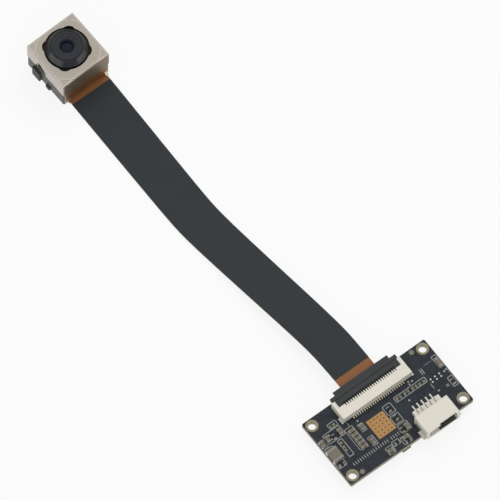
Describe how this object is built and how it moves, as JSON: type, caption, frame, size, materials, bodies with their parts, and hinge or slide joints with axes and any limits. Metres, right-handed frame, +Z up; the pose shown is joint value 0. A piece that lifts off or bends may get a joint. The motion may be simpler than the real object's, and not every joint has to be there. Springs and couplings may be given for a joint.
{
  "type": "camera module",
  "caption": "Autofocus camera head on a long flexible ribbon that plugs into a small drilled circuit board with a side-entry wire socket.",
  "frame": {"origin": "centre of the board's four mounting holes, on the board's underside", "axes": "+X from the camera head to the board, +Y along the board's long side, +Z up through the board and along the lens axis"},
  "size_m": [0.1067, 0.0286, 0.0099],
  "materials": {
    "board_black": "black solder mask over glass-fibre laminate, satin",
    "plated_gold": "thin gold plating over copper, satin",
    "tin": "tin-plated metal, satin",
    "chip_beige": "unglazed beige-brown ceramic",
    "chip_black": "moulded black epoxy, matt",
    "chip_grey": "grey-brown ferrite, matt",
    "socket_cream": "moulded cream nylon, satin",
    "latch_black": "moulded black plastic, satin",
    "contact_gold": "plated spring bronze",
    "polyimide": "orange-brown polyimide film",
    "film_black": "black shielding film, fine grain",
    "can_nickel": "nickel-plated steel sheet, satin",
    "solder": "bright solder",
    "holder_grey": "moulded dark grey plastic, satin",
    "plate_steel": "stainless sheet, satin",
    "substrate_green": "green laminate",
    "sensor_glass": "polished silicon die",
    "filter_glass": "tinted filter glass, polished",
    "lens_glass": "coated lens, polished",
    "barrel_black": "moulded black plastic, satin",
    "actuator_black": "moulded black plastic, matt",
    "magnet_nickel": "nickel-plated magnet",
    "coil_copper": "enamelled copper wire",
    "spring_bronze": "etched spring bronze"
  },
  "bodies": {
    "module": {"circuit_board": "board_black", "hole_plating": "tin", "thermal_pad": "plated_gold", "solder_pads": "tin", "large_chip_bodies": "chip_beige", "large_chip_ends": "tin", "small_chip_bodies": "chip_black", "small_chip_ends": "tin", "inductor_body": "chip_grey", "inductor_ends": "tin", "ferrite_bead_body": "chip_grey", "ferrite_bead_ends": "tin", "processor": "chip_black", "processor_leads": "tin", "memory_chip": "chip_black", "memory_leads": "tin", "crystal": "tin", "underside_inductors": "chip_grey", "underside_chip_bodies": "chip_beige", "underside_chip_ends": "tin", "ribbon_socket_housing": "socket_cream", "ribbon_socket_contacts": "contact_gold", "ribbon_socket_tabs": "tin", "wire_socket_housing": "socket_cream", "wire_socket_pins": "tin", "wire_socket_tabs": "tin", "ribbon_core": "polyimide", "ribbon_top_film": "film_black", "ribbon_bottom_film": "film_black", "ribbon_stiffener": "polyimide", "ribbon_fingers": "plated_gold", "head_plate": "plate_steel", "sensor_substrate": "substrate_green", "image_sensor": "sensor_glass", "sensor_holder": "holder_grey", "infrared_filter": "filter_glass", "shield_can": "can_nickel", "can_solder": "solder", "coil_terminals": "contact_gold", "actuator_base": "holder_grey", "magnets": "magnet_nickel", "lower_spring": "spring_bronze", "upper_spring": "spring_bronze", "upper_frame": "actuator_black"},
    "latch": {"ribbon_socket_latch": "latch_black"},
    "lens_unit": {"lens_barrel": "barrel_black", "front_lens": "lens_glass", "second_lens": "lens_glass", "third_lens": "lens_glass", "rear_lens": "lens_glass", "lens_spacers": "actuator_black", "lens_retainer": "actuator_black", "lens_carrier": "actuator_black", "focus_coil": "coil_copper"}
  },
  "joints": [
    {"name": "latch_flip", "type": "hinge", "parent": "module", "child": "latch", "pos_m": [-0.00595, 0.0001, 0.0024], "axis": [0, 1, 0], "range_deg": [0, 90]},
    {"name": "focus_travel", "type": "slide", "parent": "module", "child": "lens_unit", "axis": [0, 0, 1], "range_m": [0, 0.0003], "stiffness_N_per_m": 60, "springref_m": -0.0001, "deforming": ["upper_spring", "lower_spring"]}
  ]
}
